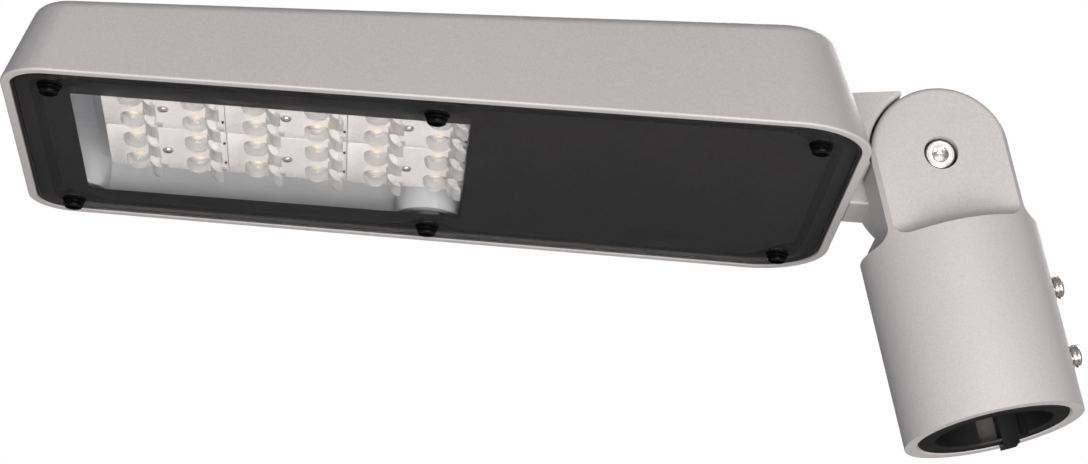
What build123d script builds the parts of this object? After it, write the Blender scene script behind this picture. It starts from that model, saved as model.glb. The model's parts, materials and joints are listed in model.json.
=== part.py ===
"""Adjustable street lamp head: a flat cast lamp housing with an LED window, tilting on a
half-lap hinge above a socket that slips over the top of a 48 mm lighting pole.

Millimetres. +Z runs up the pole. The origin is the centre of the socket's mouth, and the
lamp reaches out towards -X with its tip raised by REST_TILT.
"""
from build123d import *
from math import cos, radians, sin, tan
import os

# ---------------------------------------------------------------- driving dimensions
# Pole spigot
SPIGOT_R = 37.5            # barrel, outside
SOCKET_R = 31.75           # barrel, inside
SOCKET_DEPTH = 70.0
SHOULDER_Z = 80.0          # flat top of the barrel
HINGE_Z = 112.5            # hinge axis above the mouth

# Half-lap hinge: the spigot's ear on the -Y side, the head's lug on the +Y side
EAR_R = 28.7               # rounded end of ear and lug
EAR_FACE_Y = 26.3          # outer faces of ear and lug
EAR_FOOT_R = 6.0           # cove between ear and shoulder
EAR_EDGE_R = 2.0
LAP_GAP = 1.0              # thickness of the friction ring between the halves
CRADLE_R = 30.0            # hollow under the lug
CRADLE_TOP_Z = 90.0
REST_TILT = 15.0           # degrees, tip up

# Hinge bolt, M8 socket cap
BOLT_R = 4.0
BOLT_HEAD_R = 6.5
BOLT_HEAD_H = 8.0
BOLT_HEAD_SUNK = 2.0
COUNTERBORE_R = 7.1
HEX_SOCKET_R = 3.45        # corner radius of the 6 mm hexagon
WASHER_T = 1.6
NUT_R = 7.5                # corner radius of the 13 mm hexagon
NUT_H = 6.5
NUT_POCKET_R = 10.0
RUN_CLEARANCE = 0.06       # the lug turns on the bolt

# Cable way round the bolt
WAY_IN_R = 9.0
WAY_OUT_R = 19.0
WAY_DEPTH = 10.0
WAY_WIDTH = 14.0

# Pole sleeve and its two set screws
SLEEVE_R = 31.55
POLE_BORE_R = 24.35        # slips over a 48 mm pole
SLEEVE_LENGTH = 62.0
SLEEVE_EDGE_R = 1.0
SLIT = (-1.1, 7.9)         # from x to x, in the far wall of the sleeve
SLIT_WEB = 1.3             # thickness of the web left across the slit at the mouth
TAB = (7.9, 14.2)          # from x to x, beside the slit
TAB_DROP = 2.4             # the tab stands out of the mouth
GROOVE_ANGLE = 48.0        # degrees from +X, the groove beyond the tab
GROOVE_DEPTH = 2.0
GRUB_R = 5.0
GRUB_LENGTH = 17.0
GRUB_TIP_X = 25.2
GRUB_HEIGHTS = {"lower": 24.5, "upper": 54.5}

# Lamp housing, measured from the middle of the cover glass' outer face
MIDDLE_FROM_HINGE = 207.3
GLASS_BELOW_HINGE = 16.7
TIP_X = -172.3
ROOT_X = 173.7
TIP_HALF_WIDTH = 87.0
ROOT_HALF_WIDTH = 94.5
TIP_CORNER_R = 19.0
ROOT_CORNER_R = 32.0
WALL_SLOPE = 18.0          # degrees, every wall leans inwards
RIM_Z = -0.6
ROOF_MID_Z = 41.7
ROOF_SLOPE = 2.64          # degrees, the roof rises towards the hinge
ROOF_EDGE_R = 7.0
RIM_EDGE_R = 0.8
RIM_WIDTH = 4.0
WALL_T = 3.5

# Cover glass, its seal and its six screws
GLASS_T = 4.0
GLASS_INSET = 5.2
SEAL_T = 2.5
SEAL_WIDTH = 5.0
SEAL_INSET = 11.0
SCREW_NOTCH_R = 9.5
COVER_SCREWS = [(x, y) for x in (-152.5, 0.0, 152.5) for y in (-70.5, 70.5)]

# LED unit: three by two modules of four lenses
MODULE_PITCH = 50.0
MODULE_SIZE = 49.4
MODULE_X = (-111.0, -61.0, -11.0)
MODULE_Y = (-25.0, 25.0)
LENS_PITCH = 25.4
LENS_FACE_Z = 13.0
LENS_PLATE_T = 1.5
BOARD_T = 1.6
PLATE_T = 3.0
BLADE_H = 8.0
BLADE_FROM_LENS = (-11.5, 2.5)  # from y to y, about each lens

# Hinge bracket on the end wall
BRACKET_CONCAVE_R = 29.7
BRACKET_EDGE_R = 2.0
LUG_EDGE_R = 1.2
EAR_SIDE_CLEAR = 29.05
BRACKET_GASKET_T = 1.0
BRACKET_SCREW_Y = 20.0

# ---------------------------------------------------------------- planes
HINGE = (0, 0, HINGE_Z)
ALONG_HEAD = (cos(radians(REST_TILT)), 0, -sin(radians(REST_TILT)))
UP_HEAD = (sin(radians(REST_TILT)), 0, cos(radians(REST_TILT)))
spigot_side = Plane(origin=HINGE, x_dir=(1, 0, 0), z_dir=(0, -1, 0))
head_side = Plane(origin=HINGE, x_dir=ALONG_HEAD, z_dir=(0, -1, 0))
hinge_head = Plane(origin=HINGE, x_dir=ALONG_HEAD, z_dir=UP_HEAD)
glass_middle = hinge_head.from_local_coords((-MIDDLE_FROM_HINGE, 0, -GLASS_BELOW_HINGE))
glass = Plane(origin=glass_middle, x_dir=ALONG_HEAD, z_dir=UP_HEAD)


def tipped(point, degrees):
    """A plane through a point in the glass frame, turned about Y so that it rises towards +X."""
    low = glass.from_local_coords((0, 0, 0))
    along = glass.from_local_coords((cos(radians(degrees)), 0, sin(radians(degrees)))) - low
    up = glass.from_local_coords((-sin(radians(degrees)), 0, cos(radians(degrees)))) - low
    return Plane(origin=glass.from_local_coords(point), x_dir=along, z_dir=up)


roof = tipped((0, 0, ROOF_MID_Z), ROOF_SLOPE)
ceiling = tipped((0, 0, ROOF_MID_Z - WALL_T), ROOF_SLOPE)
# The end wall's outer face: local z points out of the wall, local x down the wall.
end_wall = tipped((ROOT_X, 0, RIM_Z), -(90 - WALL_SLOPE))


def lean(height):
    """How far a wall has leaned inwards at a height above the glass' outer face."""
    return (height - RIM_Z) * tan(radians(WALL_SLOPE))


def save(piece, name):
    piece.part.label = name
    export_step(piece.part, f"parts/{name}.step")


os.makedirs("parts", exist_ok=True)


# ---------------------------------------------------------------- pole spigot
def cove_profile(half_width, top):
    """Half-lap body seen from one side: straight flanks with a cove at the foot."""
    foot = SHOULDER_Z - HINGE_Z
    with BuildLine() as line:
        Polyline((0, top), (half_width, top), (half_width, foot + EAR_FOOT_R))
        RadiusArc((half_width, foot + EAR_FOOT_R), (half_width + EAR_FOOT_R, foot), -EAR_FOOT_R)
        outer = half_width + EAR_FOOT_R
        Polyline((outer, foot), (outer, foot - 2), (0, foot - 2), (0, top))
    return line.line


cradle_top = CRADLE_TOP_Z - HINGE_Z
with BuildPart() as lap_foot:
    with BuildSketch(spigot_side):
        with BuildLine():
            add(cove_profile(EAR_R, cradle_top))
        make_face()
        mirror(about=Plane.YZ)
    extrude(amount=EAR_FACE_Y, both=True)
    with BuildSketch(Plane(origin=HINGE, x_dir=(0, 1, 0), z_dir=(1, 0, 0))):
        with BuildLine():
            add(cove_profile(EAR_FACE_Y, cradle_top))
        make_face()
        mirror(about=Plane.YZ)
    extrude(amount=EAR_R, both=True)

with BuildPart() as spigot:
    Cylinder(SPIGOT_R, SHOULDER_Z, align=(Align.CENTER, Align.CENTER, Align.MIN))
    add(lap_foot.part)
    with BuildSketch(spigot_side):
        Circle(EAR_R)
        with Locations((0, cradle_top)):
            Rectangle(2 * EAR_R, -cradle_top, align=(Align.CENTER, Align.MIN))
    extrude(amount=EAR_FACE_Y)
    with BuildSketch(Plane.XY):
        Circle(SPIGOT_R)
    extrude(amount=HINGE_Z + EAR_R, mode=Mode.INTERSECT)
    ear_face = faces().filter_by(Plane.XZ).sort_by(Axis.Y)[0]
    fillet(ear_face.edges().filter_by(GeomType.CIRCLE).sort_by(Axis.Z)[-1], EAR_EDGE_R)
    with BuildSketch(spigot_side):
        Circle(CRADLE_R)
    extrude(amount=-SPIGOT_R, mode=Mode.SUBTRACT)
    # socket, bolt hole and counterbore
    with BuildSketch(Plane.XY):
        Circle(SOCKET_R)
    extrude(amount=SOCKET_DEPTH, mode=Mode.SUBTRACT)
    chamfer(edges().filter_by(GeomType.CIRCLE).group_by(Axis.Z)[0].sort_by(SortBy.RADIUS)[0], 1.0)
    with BuildSketch(spigot_side):
        Circle(BOLT_R + 0.2)
    extrude(amount=EAR_FACE_Y + 1, mode=Mode.SUBTRACT)
    with BuildSketch(spigot_side.offset(EAR_FACE_Y + 1)):
        Circle(COUNTERBORE_R)
    extrude(amount=-(1 + BOLT_HEAD_SUNK + BOLT_HEAD_H + WASHER_T), mode=Mode.SUBTRACT)
    # cable way: a ring round the bolt's boss, and a shaft down into the socket
    with BuildSketch(spigot_side):
        Circle(WAY_OUT_R)
        Circle(WAY_IN_R, mode=Mode.SUBTRACT)
    extrude(amount=WAY_DEPTH, mode=Mode.SUBTRACT)
    with BuildSketch(Plane.XY.offset(SOCKET_DEPTH - 1)):
        with Locations((0, -WAY_DEPTH / 2 - 1)):
            Rectangle(WAY_WIDTH, WAY_DEPTH - 2)
    extrude(amount=HINGE_Z - (WAY_IN_R + WAY_OUT_R) / 2 - SOCKET_DEPTH, mode=Mode.SUBTRACT)
    # tapped holes of the set screws
    for height in GRUB_HEIGHTS.values():
        with BuildSketch(Plane(origin=(0, 0, height), x_dir=(0, 1, 0), z_dir=(1, 0, 0))):
            Circle(GRUB_R + RUN_CLEARANCE)
        extrude(amount=SPIGOT_R + 1, mode=Mode.SUBTRACT)
save(spigot, "spigot")


# ---------------------------------------------------------------- pole sleeve and set screws
with BuildPart() as pole_sleeve:
    with BuildSketch(Plane.XY.offset(-TAB_DROP)):
        Circle(SLEEVE_R)
        Circle(POLE_BORE_R, mode=Mode.SUBTRACT)
    extrude(amount=TAB_DROP + SLEEVE_LENGTH)
    # below the mouth only the tab is left
    with BuildSketch(Plane.XY.offset(-TAB_DROP)):
        Circle(2 * SLEEVE_R)
        with Locations(((TAB[0] + TAB[1]) / 2, SLEEVE_R)):
            Rectangle(TAB[1] - TAB[0], SLEEVE_R, mode=Mode.SUBTRACT)
    extrude(amount=TAB_DROP, mode=Mode.SUBTRACT)
    # the slit lets the sleeve close on the pole
    with BuildSketch(Plane.XY.offset(SLIT_WEB)):
        with Locations(((SLIT[0] + SLIT[1]) / 2, SLEEVE_R)):
            Rectangle(SLIT[1] - SLIT[0], SLEEVE_R)
    extrude(amount=SLEEVE_LENGTH, mode=Mode.SUBTRACT)
    with BuildSketch(Plane.XY.offset(-TAB_DROP)):
        with Locations(Rot(0, 0, GROOVE_ANGLE) * Pos(POLE_BORE_R, 0, 0)):
            Rectangle(2 * GROOVE_DEPTH, 4)
    extrude(amount=2 * SLEEVE_LENGTH, mode=Mode.SUBTRACT)
    at_mouth = edges().filter_by(GeomType.CIRCLE).filter_by_position(Axis.Z, 0, 0)
    fillet(at_mouth.filter_by(lambda edge: edge.bounding_box().size.Z < 0.01), SLEEVE_EDGE_R)
    for height in GRUB_HEIGHTS.values():
        with BuildSketch(Plane(origin=(0, 0, height), x_dir=(0, 1, 0), z_dir=(1, 0, 0))):
            Circle(GRUB_R + 0.4)
        extrude(amount=SPIGOT_R, mode=Mode.SUBTRACT)
save(pole_sleeve, "pole_sleeve")

for place, height in GRUB_HEIGHTS.items():
    outer_end = GRUB_TIP_X + GRUB_LENGTH
    with BuildPart() as grub:
        with BuildSketch(Plane(origin=(GRUB_TIP_X, 0, height), x_dir=(0, 1, 0), z_dir=(1, 0, 0))):
            Circle(GRUB_R)
        extrude(amount=GRUB_LENGTH)
        chamfer(grub.edges().filter_by(GeomType.CIRCLE), 0.9)
        with BuildSketch(Plane(origin=(outer_end, 0, height), x_dir=(0, 1, 0), z_dir=(1, 0, 0))):
            RegularPolygon(2.9, 6)
        extrude(amount=-5, mode=Mode.SUBTRACT)
    save(grub, f"grub_screw_{place}")

# ---------------------------------------------------------------- hinge bolt and its stack
head_under_y = -(EAR_FACE_Y - BOLT_HEAD_SUNK - BOLT_HEAD_H)
nut_seat_y = EAR_FACE_Y - 9.0


def across_hinge(y):
    """Plane across the hinge axis at y, its normal towards +Y."""
    return Plane(origin=(0, y, HINGE_Z), x_dir=(1, 0, 0), z_dir=(0, 1, 0))


with BuildPart() as tilt_bolt:
    with BuildSketch(across_hinge(head_under_y)):
        Circle(BOLT_HEAD_R)
    extrude(amount=-BOLT_HEAD_H)
    chamfer(edges().filter_by(GeomType.CIRCLE).sort_by(Axis.Y)[0], 0.8)
    with BuildSketch(across_hinge(head_under_y)):
        Circle(BOLT_R)
    extrude(amount=EAR_FACE_Y - 0.3 - head_under_y)
    with BuildSketch(across_hinge(head_under_y - BOLT_HEAD_H)):
        RegularPolygon(HEX_SOCKET_R, 6)
    extrude(amount=4.5, mode=Mode.SUBTRACT)
save(tilt_bolt, "tilt_bolt")

with BuildPart() as tilt_nut:
    with BuildSketch(across_hinge(nut_seat_y + WASHER_T)):
        RegularPolygon(NUT_R, 6)
        Circle(BOLT_R + RUN_CLEARANCE, mode=Mode.SUBTRACT)
    extrude(amount=NUT_H)
save(tilt_nut, "tilt_nut")

for name, seat in (("bolt_washer", head_under_y), ("nut_washer", nut_seat_y)):
    with BuildPart() as washer:
        with BuildSketch(across_hinge(seat)):
            Circle(BOLT_HEAD_R + 0.3 if name == "bolt_washer" else 2 * BOLT_R)
            Circle(BOLT_R + 0.1, mode=Mode.SUBTRACT)
        extrude(amount=WASHER_T)
    save(washer, name)

with BuildPart() as friction_ring:
    with BuildSketch(across_hinge(0)):
        Circle(EAR_R - 0.7)
        Circle(WAY_OUT_R + 1, mode=Mode.SUBTRACT)
    extrude(amount=LAP_GAP)
save(friction_ring, "friction_ring")


# ---------------------------------------------------------------- hinge bracket on the head
BRACKET_TIP = (-17.3, 25.5)
BRACKET_TOP_SLOPE = 7.0
NEAR_HALF_BOTTOM = -6.7
FAR_HALF_BOTTOM = -15.5


def wall_at(up, stand_off=BRACKET_GASKET_T):
    """End wall's outer face, or a face parallel to it, in the hinge's own frame."""
    rise = up + GLASS_BELOW_HINGE - RIM_Z
    along = ROOT_X - MIDDLE_FROM_HINGE - rise * tan(radians(WALL_SLOPE))
    return (along + stand_off / cos(radians(WALL_SLOPE)), up)


back_top = wall_at(BRACKET_TIP[1] - 28 * tan(radians(BRACKET_TOP_SLOPE)))
wall_screws = [(-36.4, -BRACKET_SCREW_Y), (-36.4, BRACKET_SCREW_Y)]
wall_screws += [(-16.4, -BRACKET_SCREW_Y), (-16.4, BRACKET_SCREW_Y)]
cable_hole = (-(GLASS_BELOW_HINGE - RIM_Z) / cos(radians(WALL_SLOPE)), LAP_GAP + WAY_DEPTH / 2 + 1.5)

with BuildPart() as tilt_bracket:
    with BuildSketch(head_side):
        with BuildLine():
            Polyline(wall_at(NEAR_HALF_BOTTOM), (-10, NEAR_HALF_BOTTOM), BRACKET_TIP, back_top, close=True)
        make_face()
        Circle(BRACKET_CONCAVE_R, mode=Mode.SUBTRACT)
        Rectangle(2 * EAR_SIDE_CLEAR, 40, align=(Align.CENTER, Align.MAX), mode=Mode.SUBTRACT)
    extrude(amount=EAR_FACE_Y)
    fillet(edges().filter_by(GeomType.CIRCLE).group_by(Axis.Y)[0], BRACKET_EDGE_R)
    with BuildSketch(head_side.offset(-LAP_GAP)):
        with BuildLine():
            Polyline(wall_at(NEAR_HALF_BOTTOM), (-10, NEAR_HALF_BOTTOM), BRACKET_TIP, back_top, close=True)
        make_face()
        Circle(BRACKET_CONCAVE_R, mode=Mode.SUBTRACT)
        Rectangle(2 * EAR_SIDE_CLEAR, 40, align=(Align.CENTER, Align.MAX), mode=Mode.SUBTRACT)
    extrude(amount=LAP_GAP)
    with BuildSketch(head_side.offset(-LAP_GAP)):
        with BuildLine():
            lug_foot = wall_at(FAR_HALF_BOTTOM)
            Polyline(lug_foot, (0, FAR_HALF_BOTTOM), (0, 25), BRACKET_TIP, back_top, close=True)
        make_face()
        Circle(EAR_R)
    extrude(amount=LAP_GAP - EAR_FACE_Y)
    fillet(edges().filter_by(Axis(HINGE, ALONG_HEAD)).group_by(Axis(HINGE, UP_HEAD))[0], LUG_EDGE_R)
    # bolt bore, nut pocket, and the cable way round the bolt and into the head
    with BuildSketch(head_side.offset(-LAP_GAP)):
        Circle(BOLT_R + RUN_CLEARANCE)
    extrude(amount=-EAR_FACE_Y, mode=Mode.SUBTRACT)
    with BuildSketch(head_side.offset(-nut_seat_y)):
        Circle(NUT_POCKET_R)
    extrude(amount=-EAR_FACE_Y, mode=Mode.SUBTRACT)
    with BuildSketch(head_side.offset(-LAP_GAP)):
        Circle(WAY_OUT_R)
        Circle(WAY_IN_R, mode=Mode.SUBTRACT)
    extrude(amount=-WAY_DEPTH, mode=Mode.SUBTRACT)
    with BuildSketch(head_side.offset(-LAP_GAP - 2)):
        with Locations((-(WAY_IN_R + WAY_OUT_R) / 2, 0)):
            Rectangle(40, WAY_WIDTH - 2, align=(Align.MAX, Align.CENTER))
    extrude(amount=-(WAY_DEPTH - 1), mode=Mode.SUBTRACT)
    with BuildSketch(end_wall.offset(BRACKET_GASKET_T)):
        with Locations(*wall_screws):
            Circle(2.55)
    extrude(amount=6.5, mode=Mode.SUBTRACT)
save(tilt_bracket, "tilt_bracket")

with BuildPart() as bracket_gasket:
    with BuildSketch(end_wall):
        with Locations((-26.0, 0)):
            Rectangle(29, 2 * EAR_FACE_Y - 1)
        with Locations(*wall_screws):
            Circle(2.8, mode=Mode.SUBTRACT)
        with Locations(cable_hole):
            Circle(6, mode=Mode.SUBTRACT)
    extrude(amount=BRACKET_GASKET_T)
save(bracket_gasket, "bracket_gasket")


# ---------------------------------------------------------------- lamp housing
def head_outline(inset, tip_r, root_r):
    """Tapered plan of the head with its own corner radii at the tip and at the hinge end."""
    with BuildSketch() as plan:
        with BuildLine():
            Polyline(
                (TIP_X + inset, inset - TIP_HALF_WIDTH),
                (ROOT_X - inset, inset - ROOT_HALF_WIDTH),
                (ROOT_X - inset, ROOT_HALF_WIDTH - inset),
                (TIP_X + inset, TIP_HALF_WIDTH - inset),
                close=True,
            )
        make_face()
        fillet(vertices().group_by(Axis.X)[0], tip_r)
        fillet(vertices().group_by(Axis.X)[-1], root_r)
    return plan.sketch


def leaning_block(inset, bottom_z, top_z, top_plane):
    """Solid with walls leaning in by WALL_SLOPE, cut off by a sloping plane."""
    with BuildPart() as block:
        with BuildSketch(glass.offset(bottom_z)):
            add(head_outline(inset + lean(bottom_z), TIP_CORNER_R - inset, ROOT_CORNER_R - inset))
        with BuildSketch(glass.offset(top_z)):
            shrink = inset + lean(top_z)
            add(head_outline(shrink, TIP_CORNER_R - inset - 7, ROOT_CORNER_R - inset - 10))
        loft(ruled=True)
        split(bisect_by=top_plane, keep=Keep.BOTTOM)
    return block.part


def seal_band(outer_inset, width):
    """Ring that follows the rim and passes on the inner side of every cover screw."""
    with BuildSketch() as band:
        add(head_outline(outer_inset, TIP_CORNER_R - outer_inset + 2, ROOT_CORNER_R - outer_inset))
        for x, y in COVER_SCREWS:
            outwards = 1 if y > 0 else -1
            with Locations((x, y)):
                Circle(SCREW_NOTCH_R, mode=Mode.SUBTRACT)
            with Locations((x, y + outwards * 15)):
                Rectangle(2 * SCREW_NOTCH_R, 30, mode=Mode.SUBTRACT)
        offset(amount=-width, kind=Kind.INTERSECTION, mode=Mode.SUBTRACT)
    return band.sketch


DEEP = 62.0
cavity = leaning_block(RIM_WIDTH, RIM_Z, DEEP, ceiling)
PAD_T = 11.0
CABLE_HOLE_R = 6.0
GROMMET_FLANGE_R = 6.5
VENT_AT = (-30.0, 42.0)
seal_top = GLASS_T + SEAL_T
web_bottom = LENS_FACE_Z + LENS_PLATE_T + BOARD_T + PLATE_T
driver_centre = (92.0, -22.0)
DRIVER_SIZE = (92.0, 54.0, 22.0)
DRIVER_TOP_Z = 38.5
DRIVER_FOOT = 9.0
driver_feet = [(driver_centre[0] + side * (DRIVER_SIZE[0] + DRIVER_FOOT) / 2, driver_centre[1] + y)
               for side in (-1, 1) for y in (-18, 18)]
terminal_centre = (112.0, 42.0)
EARTH_AT = (140.0, 42.0)
module_centres = [(x, y) for x in MODULE_X for y in MODULE_Y]

with BuildPart() as ribs:
    with BuildSketch(glass.offset(seal_top)):
        add(seal_band(SEAL_INSET, SEAL_WIDTH))
    extrude(amount=DEEP - seal_top)
    with BuildSketch(glass.offset(GLASS_T + 0.3)):
        with Locations(*COVER_SCREWS):
            Circle(5.5)
    extrude(amount=DEEP - GLASS_T)
    # webs and posts that carry the LED plate and take its heat to the roof
    with BuildSketch(glass.offset(web_bottom)):
        with Locations(*[(MODULE_X[1], y) for y in (-42, -14, 14, 42)]):
            Rectangle(3 * MODULE_PITCH, 3.5)
        with Locations(*module_centres):
            Circle(4.5)
    extrude(amount=DEEP - web_bottom)
    with BuildSketch(glass.offset(DRIVER_TOP_Z)):
        with Locations(*driver_feet):
            Circle(4.2)
        with Locations(terminal_centre):
            Rectangle(30, 12)
        with Locations(EARTH_AT):
            Circle(5)
    extrude(amount=DEEP - DRIVER_TOP_Z)
    # pad behind the bracket
    with BuildSketch(end_wall):
        with Locations((-32.3, 0)):
            Rectangle(41.4, 2 * EAR_FACE_Y + 4)
    extrude(amount=-PAD_T)
    add(cavity, mode=Mode.INTERSECT)
    with BuildSketch(glass):
        Rectangle(600, 300)
    extrude(amount=GLASS_T + 0.3, mode=Mode.SUBTRACT)

with BuildPart() as housing:
    add(leaning_block(0, RIM_Z, DEEP, roof))
    upwards = Axis(HINGE, UP_HEAD)
    fillet(faces().sort_by(upwards)[-1].edges(), ROOF_EDGE_R)
    fillet(faces().sort_by(upwards)[0].edges(), RIM_EDGE_R)
    add(cavity, mode=Mode.SUBTRACT)
    with BuildSketch(glass.offset(RIM_Z)):
        add(head_outline(RIM_WIDTH, TIP_CORNER_R - RIM_WIDTH, ROOT_CORNER_R - RIM_WIDTH))
    extrude(amount=GLASS_T + 1 - RIM_Z, mode=Mode.SUBTRACT)
    add(ribs.part)
    with BuildSketch(glass.offset(GLASS_T)):
        with Locations(*COVER_SCREWS):
            Circle(2.5)
    extrude(amount=16, mode=Mode.SUBTRACT)
    with BuildSketch(glass.offset(web_bottom)):
        with Locations(*module_centres):
            Circle(1.55)
    extrude(amount=9, mode=Mode.SUBTRACT)
    with BuildSketch(glass.offset(DRIVER_TOP_Z)):
        with Locations(*driver_feet, terminal_centre, EARTH_AT):
            Circle(2.05)
    extrude(amount=5, mode=Mode.SUBTRACT)
    with BuildSketch(end_wall):
        with Locations(*wall_screws):
            Circle(2.8)
        with Locations(cable_hole):
            Circle(CABLE_HOLE_R)
    extrude(amount=-PAD_T - 12, mode=Mode.SUBTRACT)
    with BuildSketch(end_wall.offset(-PAD_T)):
        with Locations(*wall_screws):
            Circle(5)
        with Locations(cable_hole):
            Circle(GROMMET_FLANGE_R + 0.3)
    extrude(amount=-8, mode=Mode.SUBTRACT)
    with BuildSketch(end_wall):
        with Locations(VENT_AT):
            Circle(6)
    extrude(amount=-14, mode=Mode.SUBTRACT)
save(housing, "housing")

# ---------------------------------------------------------------- bracket screws, grommet and vent
with BuildPart() as bracket_screws:
    with BuildSketch(end_wall.offset(-PAD_T)):
        with Locations(*wall_screws):
            Circle(4.3)
    extrude(amount=-3.5)
    with BuildSketch(end_wall.offset(-PAD_T)):
        with Locations(*wall_screws):
            Circle(2.5)
    extrude(amount=PAD_T + BRACKET_GASKET_T + 6)
    with BuildSketch(end_wall.offset(-PAD_T - 3.5)):
        with Locations(*wall_screws):
            RegularPolygon(2.0, 6)
    extrude(amount=2, mode=Mode.SUBTRACT)
save(bracket_screws, "bracket_screws")

with BuildPart() as cable_grommet:
    with BuildSketch(end_wall.offset(-PAD_T)):
        with Locations(cable_hole):
            Circle(CABLE_HOLE_R - 0.1)
            Circle(3.5, mode=Mode.SUBTRACT)
    extrude(amount=PAD_T)
    with BuildSketch(end_wall.offset(-PAD_T)):
        with Locations(cable_hole):
            Circle(GROMMET_FLANGE_R)
            Circle(3.5, mode=Mode.SUBTRACT)
    extrude(amount=-2.5)
save(cable_grommet, "cable_grommet")

with BuildPart() as breather_vent:
    with BuildSketch(end_wall):
        with Locations(VENT_AT):
            Circle(8)
    extrude(amount=2.5)
    fillet(edges().sort_by(Axis(HINGE, tuple(end_wall.z_dir)))[-1], 1)
    with BuildSketch(end_wall):
        with Locations(VENT_AT):
            Circle(5.9)
    extrude(amount=-10)
save(breather_vent, "breather_vent")

# ---------------------------------------------------------------- cover glass, seal and screws
with BuildPart() as cover_glass:
    with BuildSketch(glass):
        add(head_outline(GLASS_INSET, TIP_CORNER_R - GLASS_INSET, ROOT_CORNER_R - GLASS_INSET))
        with Locations(*COVER_SCREWS):
            Circle(2.9, mode=Mode.SUBTRACT)
    extrude(amount=GLASS_T)
save(cover_glass, "cover_glass")

with BuildPart() as cover_seal:
    with BuildSketch(glass.offset(GLASS_T)):
        add(seal_band(SEAL_INSET, SEAL_WIDTH))
    extrude(amount=SEAL_T)
save(cover_seal, "cover_seal")

with BuildPart() as cover_screws:
    with BuildSketch(glass):
        with Locations(*COVER_SCREWS):
            Circle(5.0)
    extrude(amount=-1.3)
    with BuildSketch(glass.offset(-1.3)):
        with Locations(*COVER_SCREWS):
            Circle(3.65)
    extrude(amount=-2.9)
    fillet(faces().sort_by(Axis(HINGE, UP_HEAD))[:6].edges(), 1.4)
    with BuildSketch(glass):
        with Locations(*COVER_SCREWS):
            Circle(2.45)
    extrude(amount=18)
    with BuildSketch(glass.offset(-4.2)):
        with Locations(*COVER_SCREWS):
            RegularPolygon(1.7, 6)
    extrude(amount=2.2, mode=Mode.SUBTRACT)
save(cover_screws, "cover_screws")

# ---------------------------------------------------------------- LED unit
board_z = LENS_FACE_Z + LENS_PLATE_T
plate_z = board_z + BOARD_T
CHIP_SIZE = 3.45
CHIP_T = 0.7
LENS_R = 5.6
LENS_POINTS = [(x, y) for x in (-LENS_PITCH / 2, LENS_PITCH / 2) for y in (-LENS_PITCH / 2, LENS_PITCH / 2)]
MODULE_SCREW_R = 1.5


def module_plane(centre, z):
    """Plane over one module at height z, its normal pointing up into the lamp."""
    return Plane(origin=glass.from_local_coords((*centre, z)), x_dir=ALONG_HEAD, z_dir=UP_HEAD)


with BuildPart() as led_plate:
    plate_left = MODULE_X[0] - MODULE_PITCH / 2 - 4.0
    plate_right = MODULE_X[-1] + MODULE_PITCH / 2 + 4.0
    with BuildSketch(glass.offset(plate_z)):
        with Locations(((plate_left + plate_right) / 2, 0)):
            Rectangle(plate_right - plate_left, 2 * MODULE_PITCH)
        with Locations(*module_centres):
            Circle(1.6, mode=Mode.SUBTRACT)
    extrude(amount=PLATE_T)
save(led_plate, "led_plate")

for number, centre in enumerate(module_centres, 1):
    with BuildPart() as led_board:
        with BuildSketch(module_plane(centre, board_z)):
            Rectangle(MODULE_SIZE, MODULE_SIZE)
            Circle(1.6, mode=Mode.SUBTRACT)
        extrude(amount=BOARD_T)
    save(led_board, f"led_board_{number}")

    with BuildPart() as lens_array:
        with BuildSketch(module_plane(centre, LENS_FACE_Z)):
            Rectangle(MODULE_SIZE, MODULE_SIZE)
        extrude(amount=LENS_PLATE_T)
        for x, y in LENS_POINTS:
            with Locations(module_plane((centre[0] + x, centre[1] + y), LENS_FACE_Z + 0.6)):
                Sphere(LENS_R, arc_size1=-90, arc_size2=0, align=(Align.CENTER, Align.CENTER, Align.MAX))
        for x, y in LENS_POINTS:
            blade_foot = (centre[0] + x, centre[1] + y + BLADE_FROM_LENS[1], LENS_FACE_Z)
            blade_side = Plane(
                origin=glass.from_local_coords(blade_foot),
                x_dir=ALONG_HEAD,
                z_dir=(0, -1, 0),
            )
            with BuildSketch(blade_side):
                with BuildLine():
                    ThreePointArc((4.4, 0.2), (6.0, -4.2), (8.8, -BLADE_H))
                    Line((8.8, -BLADE_H), (11.4, -BLADE_H))
                    ThreePointArc((11.4, -BLADE_H), (9.0, -3.6), (9.4, 0.2))
                    Line((9.4, 0.2), (4.4, 0.2))
                make_face()
            extrude(amount=BLADE_FROM_LENS[1] - BLADE_FROM_LENS[0])
        with BuildSketch(module_plane(centre, board_z)):
            with Locations(*LENS_POINTS):
                Circle(2.8)
        extrude(amount=-1.1, mode=Mode.SUBTRACT)
        with BuildSketch(module_plane(centre, board_z)):
            Circle(1.6)
        extrude(amount=-LENS_PLATE_T, mode=Mode.SUBTRACT)
    save(lens_array, f"lens_array_{number}")

with BuildPart() as led_chips:
    for centre in module_centres:
        with BuildSketch(module_plane(centre, board_z)):
            with Locations(*LENS_POINTS):
                Rectangle(CHIP_SIZE, CHIP_SIZE)
        extrude(amount=-CHIP_T)
save(led_chips, "led_chips")

with BuildPart() as module_screws:
    with BuildSketch(glass.offset(LENS_FACE_Z)):
        with Locations(*module_centres):
            Circle(2.6)
    extrude(amount=-1.9)
    fillet(faces().sort_by(Axis(HINGE, UP_HEAD))[:6].edges(), 0.8)
    with BuildSketch(glass.offset(LENS_FACE_Z)):
        with Locations(*module_centres):
            Circle(MODULE_SCREW_R)
    extrude(amount=LENS_PLATE_T + BOARD_T + PLATE_T + 8)
save(module_screws, "module_screws")

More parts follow.
